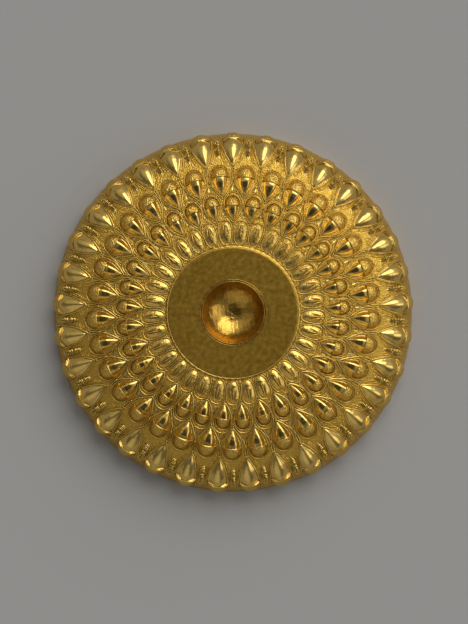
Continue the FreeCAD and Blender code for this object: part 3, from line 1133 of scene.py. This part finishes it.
@dataclass
class Fillers:
    """The small things that fill the gaps: knots, leaves, dots, and the ribs of the beechnuts."""

    chaser: Chaser
    material: bpy.types.Material
    dots: tuple = ((86.4, 0.0, 0.62, 0.8), (93.0, 0.0, 0.6, 0.7), (92.0, 0.12, 0.4, 0.5),
                   (92.0, -0.12, 0.4, 0.5), (61.4, 0.5, 0.5, 0.6), (69.2, 0.5, 0.45, 0.6),
                   (73.3, 0.5, 0.6, 0.7), (57.0, 0.0, 0.5, 0.6), (45.2, 0.0, 0.5, 0.5),
                   (46.8, 0.0, 0.36, 0.45))
    small_leaves: tuple = ((78.2, 0.0, 3.4, 1.05), (62.6, 0.5, 3.0, 0.8))
    slants: tuple = ((77.9, 84.6, 0.0, 0.35, 2.35), (62.0, 67.4, 0.5, 0.3, 1.5))
    rib_runs: tuple = ((-1.0, 0.42, 0.88), (0.0, 0.30, 0.94), (1.0, 0.42, 0.88))
    rim_reach: float = 0.86

    def build(self, outer: FruitRow, middle: FruitRow, inner: FruitRow,
              nuts: FruitRow) -> list[bpy.types.Object]:
        """Builds the fillers of every row.

        Args:
            outer: The outer row of acorns.
            middle: The middle row of acorns.
            inner: The inner row of acorns.
            nuts: The beechnuts.

        Returns:
            The pieces.
        """
        pieces = []
        for name, maker in (("gap_knots", self.knots), ("gap_leaves", self.leaves)):
            form = Form()
            maker(form)
            piece = form.build(name)
            dress(piece, self.material, Zone.WALL)
            pieces.append(piece)
        form = Form()
        self.ribs(form, nuts)
        for row in (outer, middle, inner):
            self.cup_rims(form, row)
        ribs = form.build("cup_rims_and_ribs")
        dress(ribs, self.material, Zone.WALL)
        pieces.append(ribs)
        return pieces

    def at(self, radius: float, phase: float) -> tuple[np.ndarray, np.ndarray]:
        """Returns the place and the turns of one spot in every pitch."""
        turn = (np.arange(SECTORS) + phase) * PITCH
        return np.full(SECTORS, self.chaser.relief.sheet.place_of(radius)), turn

    def knots(self, form: Form) -> None:
        """Adds the beads where frames touch and the dots in the gaps.

        Args:
            form: The mesh in the making.
        """
        for radius, phase, size, height in self.dots:
            place, turn = self.at(radius, phase)
            self.chaser.beads(form, place, turn, size, height)

    def leaves(self, form: Form) -> None:
        """Adds the small leaves between the tips of the acorns, under a pair of slanting lines.

        Args:
            form: The mesh in the making.
        """
        sheet = self.chaser.relief.sheet
        along = np.linspace(0.0, 1.0, 12)
        leaf = Tool((-1.0, -0.9, -0.5, -0.12, 0.0, 0.12, 0.5, 0.9, 1.0),
                    (0.0, 0.7, 0.6, 0.45, 0.95, 0.45, 0.6, 0.7, 0.0))
        for start, phase, length, half_width in self.small_leaves:
            place, turn = self.at(start, phase)
            path = place[:, None] + length * along[None, :]
            angle = np.broadcast_to(turn[:, None], path.shape)
            wide = half_width * np.sin(math.pi * (0.25 + 0.72 * along))
            self.chaser.ridge(form, path, angle, wide[None, :], 0.5, leaf)
        for low, high, phase, near, far in self.slants:
            radius = low + (high - low) * along
            out = near + (far - near) * (1.0 - along) ** 1.2
            place, turn = self.at(low, phase)
            path = np.broadcast_to(sheet.places(radius)[None, :], (SECTORS, len(along)))
            for side in (-1.0, 1.0):
                self.chaser.ridge(form, path, turn[:, None] + side * (out / radius)[None, :],
                                  0.27, 0.42)

    def ribs(self, form: Form, nuts: FruitRow) -> None:
        """Adds the three ribs on the outer half of each beechnut.

        Args:
            form: The mesh in the making.
            nuts: The beechnuts.
        """
        for side, first, last in self.rib_runs:
            share = np.linspace(first, last, 20)
            swell = np.sin(math.pi * np.linspace(0.10, 0.92, 20))
            spread = 0.40 + 0.12 * np.linspace(1.0, -1.0, 20)
            place, turn = nuts.on_sheet(share, side * spread * nuts.outline(share))
            self.chaser.ridge(form, place, turn, 0.42 * (0.35 + 0.65 * swell)[None, :],
                              0.75 * (0.25 + 0.75 * swell)[None, :])

    def cup_rims(self, form: Form, row: AcornRow) -> None:
        """Adds the thin edge of the cup across each nut.

        Args:
            form: The mesh in the making.
            row: The row of acorns.
        """
        across = np.linspace(-self.rim_reach, self.rim_reach, 23)
        lip = Tool((-1.0, -0.55, 0.2, 1.0), (0.0, 1.0, 0.9, 0.0), 0.35)
        share = row.cup_line + 0.014 - 0.02 * across ** 2
        place, turn = row.on_sheet(share, across * row.half_width * row.cup_width)
        self.chaser.ridge(form, place, turn, 0.28, 0.16, lip)


@dataclass
class Turned:
    """A zone of the sheet that is round: a section turned about the axis."""

    columns: int = 264
    dent: float = 0.02

    def turn(self, form: Form, radii: np.ndarray, heights: np.ndarray,
             closed: bool = True) -> None:
        """Turns a section about the axis, and dents it as the hammer does.

        Args:
            form: The mesh in the making.
            radii: The radius of each point of the section, in order round it.
            heights: The height of each point.
            closed: Whether the section closes on itself; otherwise its ends are capped.
        """
        angle = np.arange(self.columns) / self.columns * 2 * math.pi
        x = radii[:, None] * np.sin(angle)[None, :]
        y = radii[:, None] * np.cos(angle)[None, :]
        wave = np.sin(0.62 * x + 1.1 * np.sin(0.45 * y)) * np.sin(0.55 * y + 0.9 * np.sin(0.4 * x))
        wave = wave + 0.4 * np.sin(1.3 * x - 0.7 * y) * np.sin(0.9 * y + 1.1 * x)
        height = heights[:, None] + self.dent * wave
        rings = np.stack([x, y, height], axis=-1)[None]
        ends = None if closed else end_faces(1, len(radii), self.columns)
        form.add(rings, tube_faces(1, len(radii), self.columns, closed), rounds=ends)


@dataclass
class Lip(Turned):
    """The smooth rolled edge that the bowl rests on."""

    inner: float = 114.5
    outer: float = 115.9
    height: float = 3.7
    columns: int = 528
    dent: float = 0.0

    def build(self, material: bpy.types.Material) -> bpy.types.Object:
        """Builds the lip.

        Args:
            material: Its finish.

        Returns:
            The piece.
        """
        roll = 0.5 * (self.outer - self.inner)
        angle = np.linspace(0.0, math.pi, 13)
        radii = np.concatenate([[self.inner + 0.1], self.inner + roll - roll * np.cos(angle),
                                [self.outer - 0.55]])
        heights = np.concatenate([[self.height], 1.5 - 1.5 * np.sin(angle), [self.height]])
        form = Form()
        self.turn(form, radii, heights)
        piece = form.build("rolled_lip")
        dress(piece, material, Zone.LIP)
        return piece


@dataclass
class Collar(Turned):
    """The plain scraped collar round the boss, and the scalloped line that edges it."""

    inner: float = 21.6
    outer: float = 41.5
    top: float = 36.0
    bevel: float = 1.6
    bevel_drop: float = 1.1
    thickness: float = 0.8
    foot: float = 33.7
    columns: int = 330
    dent: float = 0.012
    border_radius: float = 42.35
    border_half: float = 0.55
    border_height: float = 0.55
    lobes: int = 2

    def build(self, material: bpy.types.Material,
              edging: bpy.types.Material) -> list[bpy.types.Object]:
        """Builds the collar and its border.

        Args:
            material: The collar's finish.
            edging: The border's finish.

        Returns:
            The pieces.
        """
        flat = np.linspace(self.inner, self.outer - 0.3, 24)
        corner = np.array([self.outer, self.outer + 0.5 * self.bevel, self.outer + self.bevel])
        fall = np.array([0.06, 0.5 * self.bevel_drop, self.bevel_drop])
        radii = np.concatenate([flat, corner, [self.outer + self.bevel - 0.1, self.outer - 0.9],
                                [self.inner]])
        heights = np.concatenate([np.full(24, self.top), self.top - fall,
                                  [self.foot, self.foot + 0.3], [self.top - self.thickness]])
        form = Form()
        self.turn(form, radii[::-1], heights[::-1])
        piece = form.build("scraped_collar")
        dress(piece, material, Zone.COLLAR)
        return [piece, self.border(edging)]

    def border(self, material: bpy.types.Material) -> bpy.types.Object:
        """Builds the bright line of small lobes between the collar and the beechnuts.

        Args:
            material: Its finish.

        Returns:
            The piece.
        """
        steps = SECTORS * self.lobes * 12
        angle = np.arange(steps) / steps * 2 * math.pi
        lobe = np.abs(np.cos(0.5 * SECTORS * self.lobes * angle))
        tool = Tool()
        offsets = np.asarray(tool.offsets + (1.0, -1.0))
        rises = np.asarray(tool.rises + (-0.9, -0.9))
        middle = self.border_radius + 0.32 * (lobe - 0.5)
        swell = 0.45 + 0.55 * lobe ** 0.6
        radius = middle[:, None] + self.border_half * swell[:, None] * offsets[None, :]
        slope = self.bevel_drop / self.bevel
        base = self.top - slope * np.clip(radius - self.outer, 0.0, self.bevel)
        height = base + self.border_height * swell[:, None] * rises[None, :]
        rings = np.stack([radius * np.sin(angle)[:, None], radius * np.cos(angle)[:, None],
                          height], axis=-1)
        form = Form()
        form.add(rings[None], tube_faces(1, steps, len(offsets), True))
        piece = form.build("scalloped_border")
        dress(piece, material, Zone.COLLAR)
        return piece


@dataclass
class Omphalos(Turned):
    """The boss, which is a hollow seen from below, with two fine raised lines round its mouth."""

    mouth: float = 19.4
    depth: float = 12.0
    rim: float = 2.2
    top: float = 36.0
    thickness: float = 0.8
    line_radii: tuple = (19.95, 21.15)
    line_half: float = 0.30
    line_height: float = 0.34
    columns: int = 240
    dent: float = 0.10

    def build(self, material: bpy.types.Material) -> bpy.types.Object:
        """Builds the hollow and its rim.

        Args:
            material: Its finish.

        Returns:
            The piece.
        """
        ball = (self.mouth ** 2 + self.depth ** 2) / (2.0 * self.depth)
        centre = self.top - self.depth + ball
        widest = math.asin(self.mouth / ball)
        tilt = np.linspace(0.012, widest, 52)
        cup_radii = ball * np.sin(tilt)
        cup_heights = centre - ball * np.cos(tilt)
        radii = [cup_radii]
        heights = [cup_heights]
        for line in self.line_radii:
            angle = np.linspace(-1.0, 1.0, 7)
            radii.append(line + self.line_half * angle)
            heights.append(self.top + self.line_height * np.sqrt(np.clip(1 - angle ** 2, 0, 1)))
        radii.append(np.array([self.mouth + self.rim, self.mouth + self.rim]))
        heights.append(np.array([self.top, self.top - self.thickness]))
        under = np.linspace(widest, 0.012, 20)
        outer = ball + self.thickness
        radii.append(outer * np.sin(under))
        heights.append(centre - outer * np.cos(under))
        form = Form()
        self.turn(form, np.concatenate(radii)[::-1], np.concatenate(heights)[::-1], closed=False)
        piece = form.build("omphalos_hollow")
        dress(piece, material, Zone.OMPHALOS)
        return piece


# The room

@dataclass(frozen=True)
class Glow:
    """A soft patch of light in the room, such as a softbox or a lit wall.

    The turn is in degrees clockwise from the picture's top, and the rise is above the floor. The
    patch is even out to the core angle and fades to nothing at the edge angle.
    """

    turn: float
    rise: float
    core: float
    edge: float
    strength: float


@dataclass(frozen=True)
class Studio:
    """A plain pale floor under soft light from the upper right, and the camera overhead.

    The photograph's own measures place the camera: the outline circle's middle and its radius in
    pixels, on a picture of 468 by 624.
    """

    picture: tuple = (468, 624)
    circle_middle: tuple = (233.13, 312.5)
    circle_radius_px: float = 181.65
    outline_radius: float = 117.3
    outline_height: float = 12.0
    distance: float = 2600.0
    floor: str = "#B2B1B0"
    glows: tuple = (
        Glow(28.0, 39.0, 19.0, 32.0, 2.3),
        Glow(50.0, 30.0, 20.0, 80.0, 0.34),
        Glow(95.0, 25.0, 8.0, 22.0, 0.9),
        Glow(315.0, 30.0, 10.0, 40.0, 0.26),
        Glow(200.0, 22.0, 8.0, 50.0, 0.30),
    )
    base_light: float = 0.12
    shade_core: float = 14.0
    shade_edge: float = 27.0
    shade_level: float = 0.15

    def build(self) -> None:
        """Sets up floor, room light and camera."""
        self.ground()
        self.world()
        self.camera()
        bpy.context.scene.view_settings.view_transform = "Standard"

    def ground(self) -> None:
        """Lays the floor, which is not part of the object."""
        half = 3000.0 * MM
        mesh = bpy.data.meshes.new("floor")
        corners = [(-half, -half, 0.0), (half, -half, 0.0), (half, half, 0.0), (-half, half, 0.0)]
        mesh.from_pydata(corners, [], [(0, 1, 2, 3)])
        floor = bpy.data.objects.new("floor", mesh)
        bpy.context.scene.collection.objects.link(floor)
        material = bpy.data.materials.new("matt_paper")
        material.use_nodes = True
        shader = material.node_tree.nodes["Principled BSDF"]
        shader.inputs["Base Color"].default_value = linear(self.floor)
        shader.inputs["Roughness"].default_value = 0.9
        mesh.materials.append(material)

    def world(self) -> None:
        """Lights the room with soft patches, and leaves it dim where the photographer stands."""
        world = bpy.data.worlds.new("studio")
        bpy.context.scene.world = world
        world.use_nodes = True
        tree = world.node_tree
        tree.nodes.clear()
        way = add_node(tree, "ShaderNodeTexCoord").outputs["Generated"]
        level = None
        for glow in self.glows:
            turn, rise = math.radians(glow.turn), math.radians(glow.rise)
            aim = (math.cos(rise) * math.sin(turn), math.cos(rise) * math.cos(turn), math.sin(rise))
            near = add_node(tree, "ShaderNodeVectorMath", {"operation": "DOT_PRODUCT", 1: aim},
                            {0: way}).outputs["Value"]
            patch = add_node(tree, "ShaderNodeMapRange",
                             {"interpolation_type": "SMOOTHSTEP",
                              "From Min": math.cos(math.radians(glow.edge)),
                              "From Max": math.cos(math.radians(glow.core)),
                              "To Max": glow.strength}, {"Value": near}).outputs[0]
            links = {0: patch} if level is None else {0: patch, 1: level}
            start = {"operation": "ADD", 1: self.base_light} if level is None else {"operation": "ADD"}
            level = add_node(tree, "ShaderNodeMath", start, links).outputs[0]
        height = add_node(tree, "ShaderNodeSeparateXYZ", links={0: way}).outputs[2]
        shade = add_node(tree, "ShaderNodeMapRange",
                         {"interpolation_type": "SMOOTHSTEP",
                          "From Min": math.cos(math.radians(self.shade_edge)),
                          "From Max": math.cos(math.radians(self.shade_core)),
                          "To Min": 1.0, "To Max": self.shade_level}, {"Value": height}).outputs[0]
        level = add_node(tree, "ShaderNodeMath", {"operation": "MULTIPLY"},
                         {0: level, 1: shade}).outputs[0]
        light = add_node(tree, "ShaderNodeBackground", {"Color": (1.0, 0.99, 0.97, 1.0)},
                         {"Strength": level})
        add_node(tree, "ShaderNodeOutputWorld", links={"Surface": light.outputs[0]})

    def camera(self) -> None:
        """Sets the camera straight above, so that the outline circle falls where it should."""
        scale = self.outline_radius / self.circle_radius_px
        data = bpy.data.cameras.new("camera")
        data.sensor_fit = "VERTICAL"
        data.sensor_height = 24.0
        data.lens = data.sensor_height * self.distance / (self.picture[1] * scale)
        data.clip_end = 20.0
        camera = bpy.data.objects.new("camera", data)
        right = (0.5 * self.picture[0] - self.circle_middle[0]) * scale
        down = (0.5 * self.picture[1] - self.circle_middle[1]) * scale
        camera.location = Vector((right, -down, self.distance + self.outline_height)) * MM
        camera.rotation_euler = (0.0, 0.0, 0.0)
        bpy.context.scene.collection.objects.link(camera)
        bpy.context.scene.camera = camera


def main() -> None:
    """Builds the bowl and its room, zone by zone."""
    logging.basicConfig(level=logging.INFO, format="%(name)s: %(message)s")
    sheet = Sheet()
    outer = AcornRow(sheet, 0.0, 95.0, 115.0, 6.6, 3.95, seed=1, cup_line=0.60,
                     across_knots=(0.0, 0.12, 0.50, 0.72, 0.88, 1.12),
                     across_rises=(1.0, 0.985, 0.72, 0.40, 0.17, 0.0))
    middle = AcornRow(sheet, 0.5, 75.4, 93.8, 5.3, 4.0, seed=2)
    inner = AcornRow(sheet, 0.0, 58.9, 74.5, 4.2, 3.3, seed=3)
    nuts = OvalRow(sheet, 0.5, 44.6, 57.8, 3.75, 1.6, seed=4)
    bees = OvalRow(sheet, 0.5, 98.4, 113.4, 1.7, 0.45, seed=5, unevenness=0.0, polish_and_highlight=0.4)
    relief = Relief(sheet, (outer, middle, inner, nuts, bees))
    chaser = Chaser(relief)
    chased, ridged = CHASED.make(), RIDGED.make()
    Wall(relief, chased).build()
    Frames(chaser, ridged).build(outer, middle, inner, nuts)
    Bees(chaser, ridged, chased).build()
    Fillers(chaser, ridged).build(outer, middle, inner, nuts)
    Lip().build(PLANISHED.make())
    Collar().build(SCRAPED.make(), ridged)
    Omphalos().build(WORN.make())
    Studio().build()


if __name__ == "__main__":
    main()
